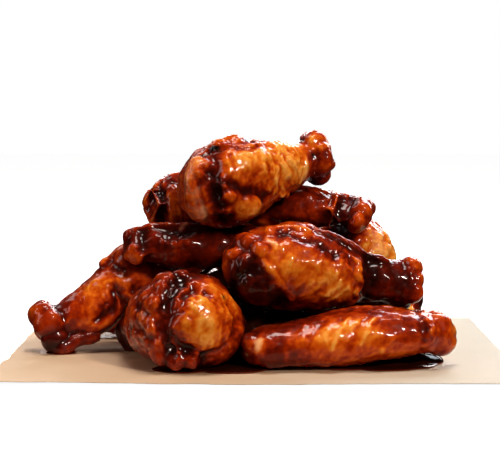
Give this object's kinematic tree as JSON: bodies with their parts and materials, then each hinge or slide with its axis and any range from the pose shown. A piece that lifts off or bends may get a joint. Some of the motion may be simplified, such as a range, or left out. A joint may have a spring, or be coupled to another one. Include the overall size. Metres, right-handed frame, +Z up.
{
  "type": "serving of glazed chicken wings",
  "caption": "Heap of sticky glazed chicken drumettes and flats piled on a flat sheet of brown paper, ready to serve.",
  "frame": {"origin": "middle of the paper sheet's underside", "axes": "+X to the right along the sheet's longer side, +Y towards the back, +Z up; the side in the picture faces -Y"},
  "size_m": [0.2422, 0.2042, 0.1088],
  "materials": {
    "glazed_skin": "cooked chicken skin under a sticky, glossy red-brown sauce",
    "kraft_paper": "uncoated tan food paper"
  },
  "bodies": {
    "root": {"paper_sheet": "kraft_paper", "drumette_top": "glazed_skin", "flat_top_left": "glazed_skin", "flat_top_right": "glazed_skin", "flat_mid_left": "glazed_skin", "drumette_mid_right": "glazed_skin", "drumette_back_right": "glazed_skin", "drumette_mid_back": "glazed_skin", "drumette_left": "glazed_skin", "drumette_front": "glazed_skin", "flat_front": "glazed_skin", "drumette_centre": "glazed_skin", "drumette_right": "glazed_skin", "flat_back": "glazed_skin", "drumette_back_left": "glazed_skin", "drumette_back": "glazed_skin"}
  },
  "joints": []
}
